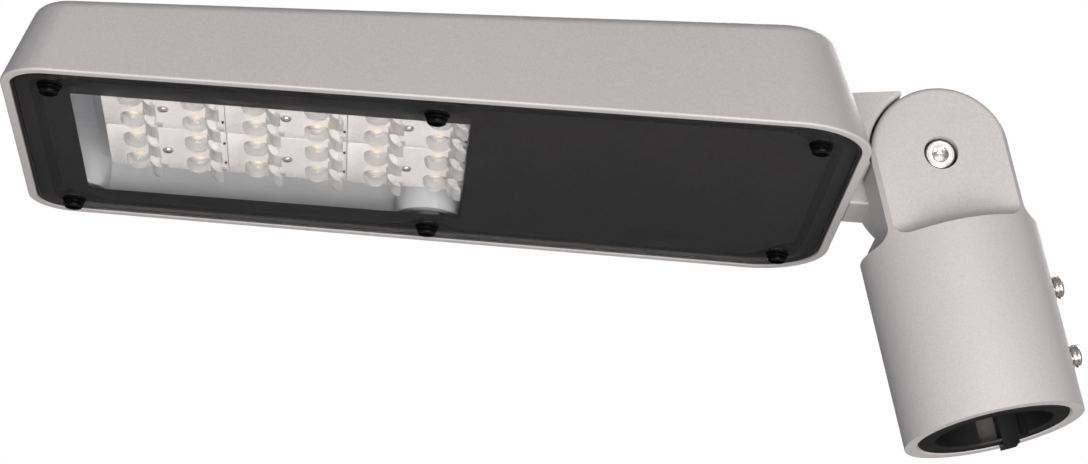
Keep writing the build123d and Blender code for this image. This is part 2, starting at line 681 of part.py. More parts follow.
# ---------------------------------------------------------------- driver, terminals and earth
with BuildPart() as driver:
    with BuildSketch(glass.offset(DRIVER_TOP_Z)):
        with Locations(driver_centre):
            Rectangle(DRIVER_SIZE[0], DRIVER_SIZE[1])
    extrude(amount=-DRIVER_SIZE[2])
    with BuildSketch(glass.offset(DRIVER_TOP_Z)):
        with Locations(driver_centre):
            Rectangle(DRIVER_SIZE[0] + 2 * DRIVER_FOOT, DRIVER_SIZE[1])
        with Locations(*driver_feet):
            Circle(2.2, mode=Mode.SUBTRACT)
    extrude(amount=-2.5)
save(driver, "driver")

with BuildPart() as driver_screws:
    with BuildSketch(glass.offset(DRIVER_TOP_Z - 2.5)):
        with Locations(*driver_feet):
            Circle(3.5)
    extrude(amount=-2.6)
    with BuildSketch(glass.offset(DRIVER_TOP_Z - 2.5)):
        with Locations(*driver_feet):
            Circle(2.0)
    extrude(amount=2.5 + 4.5)
save(driver_screws, "driver_screws")

with BuildPart() as terminal_block:
    with BuildSketch(glass.offset(DRIVER_TOP_Z)):
        with Locations(terminal_centre):
            Rectangle(34, 18)
            Circle(2.1, mode=Mode.SUBTRACT)
    extrude(amount=-14)
    with BuildSketch(glass.offset(DRIVER_TOP_Z - 14)):
        with Locations(terminal_centre):
            with GridLocations(24, 9, 2, 2):
                Circle(2.4)
    extrude(amount=5, mode=Mode.SUBTRACT)
save(terminal_block, "terminal_block")

with BuildPart() as terminal_screw:
    with BuildSketch(glass.offset(DRIVER_TOP_Z - 14)):
        with Locations(terminal_centre):
            Circle(3.5)
    extrude(amount=-2.4)
    with BuildSketch(glass.offset(DRIVER_TOP_Z - 14)):
        with Locations(terminal_centre):
            Circle(2.0)
    extrude(amount=14 + 4.5)
save(terminal_screw, "terminal_screw")

with BuildPart() as earth_screw:
    with BuildSketch(glass.offset(DRIVER_TOP_Z)):
        with Locations(EARTH_AT):
            Circle(4.0)
    extrude(amount=-3)
    with BuildSketch(glass.offset(DRIVER_TOP_Z)):
        with Locations(EARTH_AT):
            Circle(2.0)
    extrude(amount=4.5)
save(earth_screw, "earth_screw")
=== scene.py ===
import json
from math import atan2, cos, hypot, pi, radians, sin, tan

import bmesh
import bpy
from mathutils import Matrix, Vector


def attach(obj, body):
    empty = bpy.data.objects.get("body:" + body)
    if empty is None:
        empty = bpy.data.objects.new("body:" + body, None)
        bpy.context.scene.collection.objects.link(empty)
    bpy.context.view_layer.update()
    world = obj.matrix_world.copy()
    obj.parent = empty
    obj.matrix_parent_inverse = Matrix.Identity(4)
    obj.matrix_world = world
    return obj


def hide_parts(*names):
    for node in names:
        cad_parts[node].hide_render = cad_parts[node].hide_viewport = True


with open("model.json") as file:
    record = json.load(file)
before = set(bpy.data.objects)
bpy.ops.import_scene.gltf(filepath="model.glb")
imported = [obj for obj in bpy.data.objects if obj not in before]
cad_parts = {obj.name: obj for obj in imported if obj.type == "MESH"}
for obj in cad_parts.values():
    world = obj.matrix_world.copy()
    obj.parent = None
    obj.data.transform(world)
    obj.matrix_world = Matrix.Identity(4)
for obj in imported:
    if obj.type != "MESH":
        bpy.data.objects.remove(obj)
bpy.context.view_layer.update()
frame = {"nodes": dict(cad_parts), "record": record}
nodes = frame["nodes"]

# ---------------------------------------------------------------- places
# The hinge and the lamp's own frame are in metres, as the scene is. Everything below them is in
# millimetres, mostly in the lamp's own frame, and is scaled by MM when a mesh is finished.
MM = 0.001
REST_TILT = radians(15)
HINGE = Vector((0, 0, 112.5 * MM))
# Origin in the middle of the cover screws on the outer face of the glass, x along the lamp to the
# hinge, z up into the lamp.
LAMP = (
    Matrix.Translation(HINGE)
    @ Matrix.Rotation(REST_TILT, 4, "Y")
    @ Matrix.Translation((-207.3 * MM, 0, -16.7 * MM))
)
# The lamp's plan: a tapered shape with rounded corners, its walls leaning in towards a sloping roof.
TIP_X, ROOT_X = -172.3, 173.7
TIP_Y, ROOT_Y = 87.0, 94.5
TIP_CORNER, ROOT_CORNER = 19.0, 32.0
# Faces this far inside the outer walls, and under the ceiling, belong to the cavity.
CAVITY_MARGIN = 1.8
CAVITY_MID_Z = 20
WALL_LEAN = radians(18)
ROOF_SLOPE = radians(2.64)
CEILING = 39.7
GLASS_T = 4.0
WINDOW = (-145.5, 13.8)
WINDOW_HALF_WIDTH = 58.0
SCREW_HOLE_R = 2.75
COVER_SCREWS = [(x, y) for x in (-152.5, 0, 152.5) for y in (-70.5, 70.5)]
MODULE_X = (-111, -61, -11)
MODULE_Y = (-25, 25)
MODULE_SIZE = 49.8
MODULE_HOLE_R = 1.7
LENS_PITCH = 25.4
LENS_FACE = 13.0
LENS_PLATE_T = 1.5
BOARD_FACE = LENS_FACE + LENS_PLATE_T
BOARD_T = 1.6
BLADE_FROM_LENS = (-11.5, 2.5)
PLATE_MARGIN = 29.0
BOLT_HEAD_FACE, BOLT_HEAD_UNDER = 24.3, 16.3
BOLT_END = -22.9
BOLT_PITCH = 1.25
GRUB_HEIGHTS = {"lower": 24.5, "upper": 54.5}
GRUB_TIP_X = 25.2
GRUB_LENGTH = 17.0
GRUB_PITCH = 1.75


# ---------------------------------------------------------------- mesh helpers
def instance(name, mesh):
    """Object that shows a mesh."""
    piece = bpy.data.objects.new(name, mesh)
    bpy.context.scene.collection.objects.link(piece)
    return piece


def link(mesh, name, smooth=True, sharp=40):
    """Object for a new mesh, shaded smooth between its sharp edges."""
    piece = instance(name, mesh)
    if smooth:
        for face in mesh.polygons:
            face.use_smooth = True
        mark_sharp(mesh, sharp)
    return piece


def mark_sharp(mesh, degrees):
    """Mark the edges that turn more than this many degrees."""
    edges = bmesh.new()
    edges.from_mesh(mesh)
    for edge in edges.edges:
        if len(edge.link_faces) == 2 and edge.calc_face_angle(0) > radians(degrees):
            edge.smooth = False
    edges.to_mesh(mesh)
    edges.free()


def finish_mesh(bm, name, smooth=True, sharp=40, scale=MM):
    """Piece from faces drawn in millimetres."""
    bmesh.ops.remove_doubles(bm, verts=bm.verts, dist=1e-5)
    bmesh.ops.recalc_face_normals(bm, faces=bm.faces)
    bmesh.ops.scale(bm, vec=(scale, scale, scale), verts=bm.verts)
    mesh = bpy.data.meshes.new(name)
    bm.to_mesh(mesh)
    bm.free()
    return link(mesh, name, smooth, sharp)


def add_walls(bm, low, high):
    """Ring of faces between two rings of the same number of points."""
    for i in range(len(low)):
        j = (i + 1) % len(low)
        bm.faces.new((low[i], low[j], high[j], high[i]))


def add_block(bm, low, high):
    """Closed block between two rings: both ends, then the walls."""
    bm.faces.new(low)
    bm.faces.new(high)
    add_walls(bm, low, high)


def add_lathe(bm, profile, centre=(0, 0, 0), steps=48, squash=(1, 1)):
    """Turn a profile of (radius, z) about a local z axis; squash makes it oval in plan."""
    rings = []
    for radius, z in profile:
        if radius < 1e-6:
            rings.append([bm.verts.new((centre[0], centre[1], centre[2] + z))])
            continue
        ring = []
        for step in range(steps):
            angle = 2 * pi * step / steps
            ring.append(
                bm.verts.new(
                    (
                        centre[0] + radius * squash[0] * cos(angle),
                        centre[1] + radius * squash[1] * sin(angle),
                        centre[2] + z,
                    )
                )
            )
        rings.append(ring)
    for low, high in zip(rings, rings[1:]):
        if len(low) == len(high) == steps:
            add_walls(bm, low, high)
        elif len(high) == steps:
            for step in range(steps):
                bm.faces.new((low[0], high[step], high[(step + 1) % steps]))
        elif len(low) == steps:
            for step in range(steps):
                bm.faces.new((low[step], low[(step + 1) % steps], high[0]))


def add_prism(bm, outline, low, high):
    """Closed prism of a plan outline between two heights."""
    bottom = [bm.verts.new((x, y, low)) for x, y in outline]
    top = [bm.verts.new((x, y, high)) for x, y in outline]
    add_block(bm, bottom, top)


def turned(name, profile, centre=(0, 0, 0), steps=48, squash=(1, 1)):
    """Piece turned from a profile."""
    bm = bmesh.new()
    add_lathe(bm, profile, centre, steps, squash)
    return finish_mesh(bm, name)


def prism(name, outline, low, high, smooth=False):
    """Piece made of one prism."""
    bm = bmesh.new()
    add_prism(bm, outline, low, high)
    return finish_mesh(bm, name, smooth)


def straight_hole(radius, low, high):
    """Profile of a plain round cutter."""
    return [(0, high), (radius, high), (radius, low), (0, low)]


def rounded_rect(cx, cy, width, depth, radius, steps=5):
    """Outline of a rectangle with rounded corners."""
    points = []
    for sx, sy, start in ((1, 1, 0), (-1, 1, 90), (-1, -1, 180), (1, -1, 270)):
        for step in range(steps + 1):
            angle = radians(start + 90 * step / steps)
            points.append(
                (
                    cx + sx * (width / 2 - radius) + radius * cos(angle),
                    cy + sy * (depth / 2 - radius) + radius * sin(angle),
                )
            )
    return points


def bevel(piece, width, angle=35):
    """Round the edges of a piece and apply it to the mesh."""
    mod = piece.modifiers.new("edges", "BEVEL")
    mod.width = width * MM
    mod.segments = 2
    mod.limit_method = "ANGLE"
    mod.angle_limit = radians(angle)
    apply_modifiers(piece)


def apply_modifiers(piece):
    """Put what the modifiers make into the mesh."""
    deps = bpy.context.evaluated_depsgraph_get()
    mesh = bpy.data.meshes.new_from_object(piece.evaluated_get(deps))
    piece.modifiers.clear()
    piece.data = mesh
    for face in mesh.polygons:
        face.use_smooth = True
    mark_sharp(mesh, 40)


def boolean(piece, cutter, operation="DIFFERENCE"):
    """Cut or join a second mesh, which is used up."""
    mod = piece.modifiers.new("cut", "BOOLEAN")
    mod.operation = operation
    mod.solver = "EXACT"
    mod.object = cutter
    apply_modifiers(piece)
    bpy.data.objects.remove(cutter)


def copies(piece, name, places):
    """One mesh holding a copy of a piece at each place in plan, in mm; the piece is used up."""
    bm = bmesh.new()
    for x, y in places:
        start = len(bm.verts)
        bm.from_mesh(piece.data)
        bm.verts.ensure_lookup_table()
        bmesh.ops.translate(bm, vec=Vector((x, y, 0)) * MM, verts=bm.verts[start:])
    mesh = bpy.data.meshes.new(name)
    bm.to_mesh(mesh)
    bm.free()
    bpy.data.objects.remove(piece)
    return link(mesh, name)


def hexagon(corner_radius):
    """Outline of a hexagon."""
    return [(corner_radius * cos(pi * i / 3), corner_radius * sin(pi * i / 3)) for i in range(6)]


def in_lamp(piece, at=(0, 0, 0)):
    """Place a piece in the lamp's own frame, to ride with the lamp."""
    piece.matrix_world = LAMP @ Matrix.Translation(Vector(at) * MM)
    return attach(piece, "head")


def mesh_of(piece):
    """Keep a piece's mesh for several objects; the piece is used up."""
    mesh = piece.data
    bpy.data.objects.remove(piece)
    return mesh


# ---------------------------------------------------------------- materials
class Nodes:
    """Short way to write a material's nodes."""

    def __init__(self, name):
        self.material = bpy.data.materials.new(name)
        self.material.use_nodes = True
        self.tree = self.material.node_tree
        self.shader = self.tree.nodes["Principled BSDF"]
        self.output = self.tree.nodes["Material Output"]

    def new(self, kind, **settings):
        node = self.tree.nodes.new(kind)
        for key, value in settings.items():
            setattr(node, key, value)
        return node

    def join(self, source, target):
        self.tree.links.new(source, target)

    def coords(self):
        return self.new("ShaderNodeTexCoord").outputs["Object"]

    def noise(self, scale, detail=4, rough=0.55, vector=None):
        node = self.new("ShaderNodeTexNoise")
        node.inputs["Scale"].default_value = scale
        node.inputs["Detail"].default_value = detail
        node.inputs["Roughness"].default_value = rough
        self.join(vector or self.coords(), node.inputs["Vector"])
        return node.outputs["Fac"]

    def ramp(self, source, stops):
        node = self.new("ShaderNodeValToRGB")
        ramp = node.color_ramp
        while len(ramp.elements) < len(stops):
            ramp.elements.new(0.5)
        for element, (place, colour) in zip(ramp.elements, stops):
            element.position = place
            element.color = (*colour, 1) if len(colour) == 3 else colour
        self.join(source, node.inputs["Fac"])
        return node.outputs["Color"]

    def span(self, source, low, high, to_low, to_high):
        node = self.new("ShaderNodeMapRange")
        node.inputs["From Min"].default_value = low
        node.inputs["From Max"].default_value = high
        node.inputs["To Min"].default_value = to_low
        node.inputs["To Max"].default_value = to_high
        self.join(source, node.inputs["Value"])
        return node.outputs["Result"]

    def bump(self, height, strength, distance, normal=None):
        node = self.new("ShaderNodeBump")
        node.inputs["Strength"].default_value = strength
        node.inputs["Distance"].default_value = distance
        self.join(height, node.inputs["Height"])
        if normal is not None:
            self.join(normal, node.inputs["Normal"])
        return node.outputs["Normal"]

    def set(self, **values):
        for key, value in values.items():
            self.shader.inputs[key.replace("_", " ")].default_value = value
        return self


def grey(value):
    return (value, value, value)


def powder_coat(name="powder_coat_grey", painted_socket_shade=False):
    """Grey coat with a fine grain and a faint orange peel."""
    m = Nodes(name)
    broad = m.ramp(m.noise(9, 3), [(0.3, (0.485, 0.452, 0.437)), (0.7, (0.515, 0.482, 0.467))])
    grain = m.noise(1500, 4, 0.65)
    specks = m.new("ShaderNodeMix", data_type="RGBA", blend_type="MULTIPLY")
    specks.inputs["Factor"].default_value = 1.0
    m.join(broad, specks.inputs["A"])
    speck_colour = m.ramp(grain, [(0.34, grey(0.91)), (0.5, grey(0.98)), (0.66, grey(1.06))])
    m.join(speck_colour, specks.inputs["B"])
    colour = specks.outputs["Result"]
    if painted_socket_shade:
        # inside the spigot's hole the coat is painted near-black: painted shade for the socket wall,
        # which lies in shadow
        place = m.new("ShaderNodeSeparateXYZ")
        m.join(m.coords(), place.inputs["Vector"])
        across = m.new("ShaderNodeVectorMath", operation="LENGTH")
        flat = m.new("ShaderNodeCombineXYZ")
        m.join(place.outputs["X"], flat.inputs["X"])
        m.join(place.outputs["Y"], flat.inputs["Y"])
        m.join(flat.outputs["Vector"], across.inputs[0])
        inside = m.span(across.outputs["Value"], 0.0321, 0.0323, 1, 0)
        below = m.span(place.outputs["Z"], 0.0015, 0.0035, 0, 1)
        above = m.span(place.outputs["Z"], 0.0700, 0.0702, 1, 0)
        both = m.new("ShaderNodeMath", operation="MULTIPLY")
        m.join(inside, both.inputs[0])
        m.join(below, both.inputs[1])
        socket_shade = m.new("ShaderNodeMath", operation="MULTIPLY")
        m.join(both.outputs["Value"], socket_shade.inputs[0])
        m.join(above, socket_shade.inputs[1])
        # blend in the dark painted shade inside the socket
        mix = m.new("ShaderNodeMix", data_type="RGBA")
        m.join(socket_shade.outputs["Value"], mix.inputs["Factor"])
        m.join(colour, mix.inputs["A"])
        m.join(m.ramp(grain, [(0.3, (0.085, 0.075, 0.07)), (0.7, (0.12, 0.105, 0.10))]), mix.inputs["B"])
        colour = mix.outputs["Result"]
    m.join(colour, m.shader.inputs["Base Color"])
    orange_peel = m.noise(420, 2, 0.5)
    m.join(m.span(grain, 0.3, 0.7, 0.42, 0.60), m.shader.inputs["Roughness"])
    under = m.bump(orange_peel, 0.3, 0.0003)
    m.join(m.bump(grain, 0.4, 0.0002, under), m.shader.inputs["Normal"])
    m.set(Metallic=0.12, Specular_IOR_Level=0.4)
    return m.material


def stainless(name="stainless", base=(0.78, 0.73, 0.69), low=0.16, high=0.30):
    """Bare metal with fine machining marks; low and high are the ends of its roughness."""
    m = Nodes(name)
    stretched = m.new("ShaderNodeMapping")
    stretched.inputs["Scale"].default_value = (1, 1, 12)
    m.join(m.coords(), stretched.inputs["Vector"])
    turned = m.noise(900, 3, 0.6, stretched.outputs["Vector"])
    dark = tuple(0.86 * c for c in base)
    m.join(m.ramp(turned, [(0.3, dark), (0.7, base)]), m.shader.inputs["Base Color"])
    m.join(m.span(turned, 0.3, 0.7, low, high), m.shader.inputs["Roughness"])
    m.join(m.bump(turned, 0.2, 0.00004), m.shader.inputs["Normal"])
    m.set(Metallic=1.0)
    return m.material


def moulded(name, dark, light, roughness, grain=700, bump=0.00008, strength=0.4, **more):
    """Plain surface that varies between two colours, with a fine grain."""
    m = Nodes(name)
    fine = m.noise(grain, 4, 0.6)
    m.join(m.ramp(m.noise(60, 3), [(0.35, dark), (0.65, light)]), m.shader.inputs["Base Color"])
    m.join(m.span(fine, 0.3, 0.7, roughness - 0.07, roughness + 0.07), m.shader.inputs["Roughness"])
    m.join(m.bump(fine, strength, bump), m.shader.inputs["Normal"])
    m.set(**more)
    return m.material


def clear(name, tint, ior, roughness=0.0, smear=None):
    """Clear solid that bends what is seen through it and lets lamp light pass."""
    m = Nodes(name)
    m.set(Base_Color=(*tint, 1), Transmission_Weight=1.0, Roughness=roughness, IOR=ior)
    if smear:
        wave = m.noise(smear, 2, 0.5)
        m.join(m.bump(wave, 0.15, 0.0001), m.shader.inputs["Normal"])
    path = m.new("ShaderNodeLightPath")
    through = m.new("ShaderNodeBsdfTransparent")
    through.inputs["Color"].default_value = (*tint, 1)
    mix = m.new("ShaderNodeMixShader")
    m.join(path.outputs["Is Shadow Ray"], mix.inputs["Fac"])
    m.join(m.shader.outputs["BSDF"], mix.inputs[1])
    m.join(through.outputs["BSDF"], mix.inputs[2])
    m.join(mix.outputs["Shader"], m.output.inputs["Surface"])
    return m.material


COAT = powder_coat()
# the spigot's coat, with painted shade inside its socket
SPIGOT_COAT = powder_coat("powder_coat_spigot", painted_socket_shade=True)
# lighter, bluer copy of the coat for the cavity walls: painted light
PAINTED_LIGHT_INNER_COAT = moulded("inner_coat_painted_light", (0.55, 0.565, 0.59), (0.60, 0.615, 0.64), 0.5, 1500, 0.0002, 0.3)
STEEL = stainless()
BRIGHT = stainless("plated_screw", (0.80, 0.77, 0.74), 0.10, 0.22)
GLASS = clear("toughened_glass", (0.985, 0.985, 0.98), 1.5)
LENS = clear("clear_lens", (0.985, 0.98, 0.975), 1.49, 0.03, 240)
# moulded acrylic is a little milky
LENS.node_tree.nodes["Principled BSDF"].inputs["Transmission Weight"].default_value = 0.80
PRINT = moulded("black_print", (0.023, 0.0215, 0.022), (0.027, 0.0255, 0.026), 0.35, 900, 0.00003, 0.2)
SEAL = moulded("seal_rubber", grey(0.010), grey(0.013), 0.6, Specular_IOR_Level=0.3)
RUBBER = moulded("black_rubber", grey(0.010), grey(0.016), 0.65)
BLACK_PLASTIC = moulded(
    "black_plastic", (0.007, 0.007, 0.0075), (0.011, 0.011, 0.0115), 0.42, 900, Specular_IOR_Level=0.3
)
BLACK_SCREW = moulded(
    "black_screw", grey(0.0015), grey(0.003), 0.13, 500, 0.00003, 0.15, Specular_IOR_Level=0.13
)
WHITE_BOARD = moulded("white_board", (0.87, 0.83, 0.81), (0.90, 0.86, 0.84), 0.30, 900, 0.00003, 0.3)
ALUMINIUM = stainless("milled_aluminium", (0.80, 0.79, 0.79), 0.42, 0.55)
CASE = stainless("driver_case", (0.45, 0.46, 0.47))
WHITE_PLASTIC = moulded("white_plastic", (0.74, 0.74, 0.72), (0.80, 0.80, 0.78), 0.45)
BRASS = stainless("brass", (0.66, 0.48, 0.20))
PHOSPHOR = moulded("phosphor", (0.86, 0.60, 0.22), (0.92, 0.68, 0.30), 0.3)
KEEPER = moulded("lens_keeper", (0.40, 0.39, 0.39), (0.46, 0.45, 0.45), 0.4)

BY_SLOT = {
    "grey_coat": COAT,
    "black_plastic": BLACK_PLASTIC,
    "stainless": STEEL,
    "zinc_steel": BRIGHT,
    "black_rubber": RUBBER,
    "seal_rubber": SEAL,
    "cover_glass": GLASS,
    "black_screw": BLACK_SCREW,
    "bare_aluminium": ALUMINIUM,
    "white_board": WHITE_BOARD,
    "clear_lens": LENS,
    "led_yellow": PHOSPHOR,
    "driver_case": CASE,
    "white_plastic": WHITE_PLASTIC,
    "brass": BRASS,
}
for part in frame["record"]["subparts"]:
    cad = nodes[part["node"]]
    for slot in cad.material_slots:
        slot.link = "OBJECT"
        slot.material = SPIGOT_COAT if part["node"] == "spigot" else BY_SLOT[part["material_slot"]]


def made(piece, material, slot, *stands_for):
    """Give a piece its material and hide the CAD nodes that it stands for; slot is not used."""
    piece.data.materials.clear()
    piece.data.materials.append(material)
    if stands_for:
        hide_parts(*stands_for)
    return piece


# ---------------------------------------------------------------- housing, with smooth rounded edges
bm = bmesh.new()
bm.from_mesh(nodes["housing"].data)
bmesh.ops.remove_doubles(bm, verts=bm.verts, dist=2e-6)
casting = finish_mesh(bm, "housing_casting", sharp=28, scale=1.0)
mod = casting.modifiers.new("normals", "WEIGHTED_NORMAL")
mod.keep_sharp = True
mod.weight = 60
casting.matrix_world = nodes["housing"].matrix_world.copy()
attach(casting, "head")
made(casting, COAT, "grey_coat", "housing")
# the cavity's own faces get a lighter, bluer copy of the coat: painted light on the cavity's walls
casting.data.materials.append(PAINTED_LIGHT_INNER_COAT)
to_lamp = LAMP.inverted()
for face in casting.data.polygons:
    x, y, z = to_lamp @ face.center / MM
    inward = (to_lamp.to_3x3() @ face.normal).dot(Vector((x, y, z - CAVITY_MID_Z))) < 0
    lean_in = CAVITY_MARGIN + z * tan(WALL_LEAN)
    half_width = (TIP_Y + ROOT_Y) / 2 + x * (ROOT_Y - TIP_Y) / (ROOT_X - TIP_X)
    enclosed = abs(y) < half_width - lean_in and TIP_X + lean_in < x < ROOT_X - lean_in
    if inward and enclosed and GLASS_T + 0.2 < z < CEILING + x * tan(ROOF_SLOPE):
        face.material_index = 1


# ---------------------------------------------------------------- glass and its printed border
def head_outline(inset, steps=14):
    """Tapered plan of the lamp, its corners rounded, moved in by an inset."""
    corners = [
        (TIP_X, -TIP_Y, TIP_CORNER),
        (ROOT_X, -ROOT_Y, ROOT_CORNER),
        (ROOT_X, ROOT_Y, ROOT_CORNER),
        (TIP_X, TIP_Y, TIP_CORNER),
    ]
    points = []
    for i, (x, y, radius) in enumerate(corners):
        before = Vector(corners[i - 1][:2])
        after = Vector(corners[(i + 1) % 4][:2])
        here = Vector((x, y))
        back = (before - here).normalized()
        on = (after - here).normalized()
        half = back.angle(on) / 2
        middle = here + (back + on).normalized() * (radius / sin(half))
        first = here + back * (radius / tan(half)) - middle
        last = here + on * (radius / tan(half)) - middle
        a0 = atan2(first.y, first.x)
        a1 = atan2(last.y, last.x)
        if a1 < a0:
            a1 += 2 * pi
        for step in range(steps + 1):
            angle = a0 + (a1 - a0) * step / steps
            points.append(
                (middle.x + (radius - inset) * cos(angle), middle.y + (radius - inset) * sin(angle))
            )
    return points


def add_frame_sheet(bm, outline, window, z, thickness):
    """Flat layer with a window: its bottom and top faces."""
    for level in (z, z + thickness):
        outer = [bm.verts.new((x, y, level)) for x, y in outline]
        inner = [bm.verts.new((x, y, level)) for x, y in window]
        edges = [bm.edges.new((outer[i], outer[(i + 1) % len(outer)])) for i in range(len(outer))]
        edges += [bm.edges.new((inner[i], inner[(i + 1) % len(inner)])) for i in range(len(inner))]
        bmesh.ops.triangle_fill(bm, use_beauty=True, edges=edges)


# clear pane with blacked sides
pane = prism("cover_pane", head_outline(5.2), 0, GLASS_T, smooth=True)
bevel(pane, 0.35)
for x, y in COVER_SCREWS:
    boolean(pane, turned("hole", straight_hole(SCREW_HOLE_R, -2, 6), (x, y, 0), 28))
made(in_lamp(pane), GLASS, "cover_glass", "cover_glass")
pane.data.materials.append(PRINT)
for face in pane.data.polygons:
    face.material_index = 1 if abs(face.normal.z) < 0.9 else 0

bm = bmesh.new()
window_plan = rounded_rect(sum(WINDOW) / 2, 0, WINDOW[1] - WINDOW[0], 2 * WINDOW_HALF_WIDTH, 0.8, 3)
add_frame_sheet(bm, head_outline(5.25), window_plan, GLASS_T + 0.04, 0.03)
cover_print = in_lamp(finish_mesh(bm, "cover_print", smooth=False))
made(cover_print, PRINT, "seal_rubber")


# ---------------------------------------------------------------- cover seal, and an edge band as painted shade
def pushed(points, radius, power=9):
    """Move points smoothly off the cover screws, in towards the lamp, to pass each at a radius."""
    moved = []
    for x, y in points:
        for screw_x, screw_y in COVER_SCREWS:
            dx, dy = x - screw_x, y - screw_y
            far = hypot(dx, dy)
            if far < 3 * radius:
                wanted = (far**power + radius**power) ** (1 / power)
                toward_x, toward_y = -screw_x * 0.02, -screw_y * 0.5
                side = hypot(toward_x, toward_y)
                gap = wanted - far
                x += gap * toward_x / side
                y += gap * toward_y / side
        moved.append((x, y))
    return moved


def dense(points, step=2.0):
    """Same closed outline with points at even steps."""
    result = []
    for i, (x0, y0) in enumerate(points):
        x1, y1 = points[(i + 1) % len(points)]
        parts = max(1, round(hypot(x1 - x0, y1 - y0) / step))
        result += [(x0 + (x1 - x0) * k / parts, y0 + (y1 - y0) * k / parts) for k in range(parts)]
    return result


def add_band(bm, outer, inner, sections):
    """Closed band between two outlines; sections are (share from outer to inner, z)."""
    rings = []
    for share, z in sections:
        rings.append(
            [
                bm.verts.new((xo + (xi - xo) * share, yo + (yi - yo) * share, z))
                for (xo, yo), (xi, yi) in zip(outer, inner)
            ]
        )
    for k, ring in enumerate(rings):
        add_walls(bm, ring, rings[(k + 1) % len(rings)])


seal_low, seal_high = GLASS_T + 0.01, GLASS_T + 2.4
bm = bmesh.new()
add_band(
    bm,
    pushed(dense(head_outline(11.0)), 9.7),
    pushed(dense(head_outline(15.8)), 14.4),
    [
        (0.0, seal_low + 0.3),
        (0.06, seal_low),
        (0.94, seal_low),
        (1.0, seal_low + 0.3),
        (1.0, seal_high - 0.5),
        (0.8, seal_high),
        (0.2, seal_high),
        (0.0, seal_high - 0.5),
    ],
)
cover_seal = in_lamp(finish_mesh(bm, "cover_seal_band"))
made(cover_seal, SEAL, "seal_rubber", "cover_seal")

# black band round the glass's edge: painted shade for the shadowed gap between glass and rim
bm = bmesh.new()
add_band(
    bm,
    head_outline(4.08),
    head_outline(5.17),
    [
        (0.0, 0.4),
        (0.25, 0.05),
        (0.75, 0.05),
        (1.0, 0.25),
        (1.0, GLASS_T - 0.3),
        (0.8, GLASS_T - 0.1),
        (0.2, GLASS_T - 0.1),
        (0.0, GLASS_T - 0.3),
    ],
)
made(in_lamp(finish_mesh(bm, "cover_edge_gap_shade")), SEAL, "seal_rubber")

# ---------------------------------------------------------------- cover screws
bm = bmesh.new()
add_lathe(
    bm,
    [
        (0, 3.0), (2.7, 3.0), (2.7, -0.02), (4.8, -0.02), (5.0, -0.2), (5.0, -0.7), (4.8, -0.9),
        (4.0, -0.95), (3.8, -1.1), (3.8, -1.35), (4.0, -1.5), (4.3, -1.55), (4.45, -1.7), (4.45, -2.1),
        (4.3, -2.25), (3.5, -2.3), (3.35, -2.45), (3.35, -2.65), (3.6, -2.8), (3.85, -2.9), (3.9, -3.1),
        (3.9, -3.6), (3.7, -4.0), (3.2, -4.25), (2.5, -4.35), (0, -4.4),
    ],
    steps=72,
)
# serrations round the washer under the head
for vert in bm.verts:
    radius = hypot(vert.co.x, vert.co.y)
    if radius > 4.6:
        wave = 1 + 0.02 * cos(24 * atan2(vert.co.y, vert.co.x))
        vert.co.x *= wave
        vert.co.y *= wave
screw = finish_mesh(bm, "screw")
boolean(screw, prism("socket", hexagon(1.75), -6.0, -2.3))
cover_screws = in_lamp(copies(screw, "cover_screw_heads", COVER_SCREWS))
made(cover_screws, BLACK_SCREW, "black_screw", "cover_screws")

# ---------------------------------------------------------------- LED modules
MODULES = [(x, y) for x in MODULE_X for y in MODULE_Y]
LENS_OFFSETS = (-LENS_PITCH / 2, LENS_PITCH / 2)
LENS_SPOTS = [(x, y) for x in LENS_OFFSETS for y in LENS_OFFSETS]

# lens plate: four domes, a blade beside each, a pocket over each LED and a hole for the screw
optic = prism("optic", rounded_rect(0, 0, MODULE_SIZE, MODULE_SIZE, 1.2), LENS_FACE, BOARD_FACE - 0.02)
bevel(optic, 0.25)
for x, y in LENS_SPOTS:
    dome = [(0, LENS_FACE + 0.6), (5.5, LENS_FACE + 0.6), (5.5, LENS_FACE), (5.4, LENS_FACE - 1.0)]
    for step in range(1, 9):
        angle = radians(90 * step / 8)
        dome.append((5.4 * cos(angle), LENS_FACE - 1.0 - 4.0 * sin(angle)))
    boolean(optic, turned("dome", dome, (x, y, 0), 40, squash=(0.97, 1.07)), "UNION")
for x, y in LENS_SPOTS:
    near = [(4.4, 0.3), (4.5, -1.8), (5.0, -3.8), (5.9, -5.6), (7.2, -7.1), (8.8, -8.0)]
    away = [(11.4, -8.0), (10.3, -6.9), (9.5, -5.6), (9.0, -4.0), (9.0, -2.0), (9.4, 0.3)]
    bm = bmesh.new()
    ends = [
        [bm.verts.new((x + u, y + end, LENS_FACE + w)) for u, w in near + away]
        for end in BLADE_FROM_LENS
    ]
    add_block(bm, ends[0], ends[1])
    blade = finish_mesh(bm, "blade")
    bevel(blade, 0.3, angle=50)
    boolean(optic, blade, "UNION")
for x, y in LENS_SPOTS:
    pocket = [(0, BOARD_FACE + 1.0), (2.7, BOARD_FACE + 1.0), (2.7, BOARD_FACE - 0.6)]
    for step in range(1, 7):
        angle = radians(90 * step / 6)
        pocket.append((2.7 * cos(angle), BOARD_FACE - 0.6 - 1.9 * sin(angle)))
    boolean(optic, turned("pocket", pocket, (x, y, 0), 32))
boolean(optic, turned("hole", straight_hole(MODULE_HOLE_R, 5, 20), steps=24))
optic_mesh = mesh_of(optic)
optic_mesh.materials.clear()
optic_mesh.materials.append(LENS)
optic_mesh.materials.append(WHITE_BOARD)
for face in optic_mesh.polygons:
    middle = face.center / MM
    at_edge = max(abs(middle.x), abs(middle.y)) > MODULE_SIZE / 2 - 0.3
    if at_edge or (abs(middle.z - LENS_FACE) < 0.02 and face.normal.z < -0.9):
        face.material_index = 1

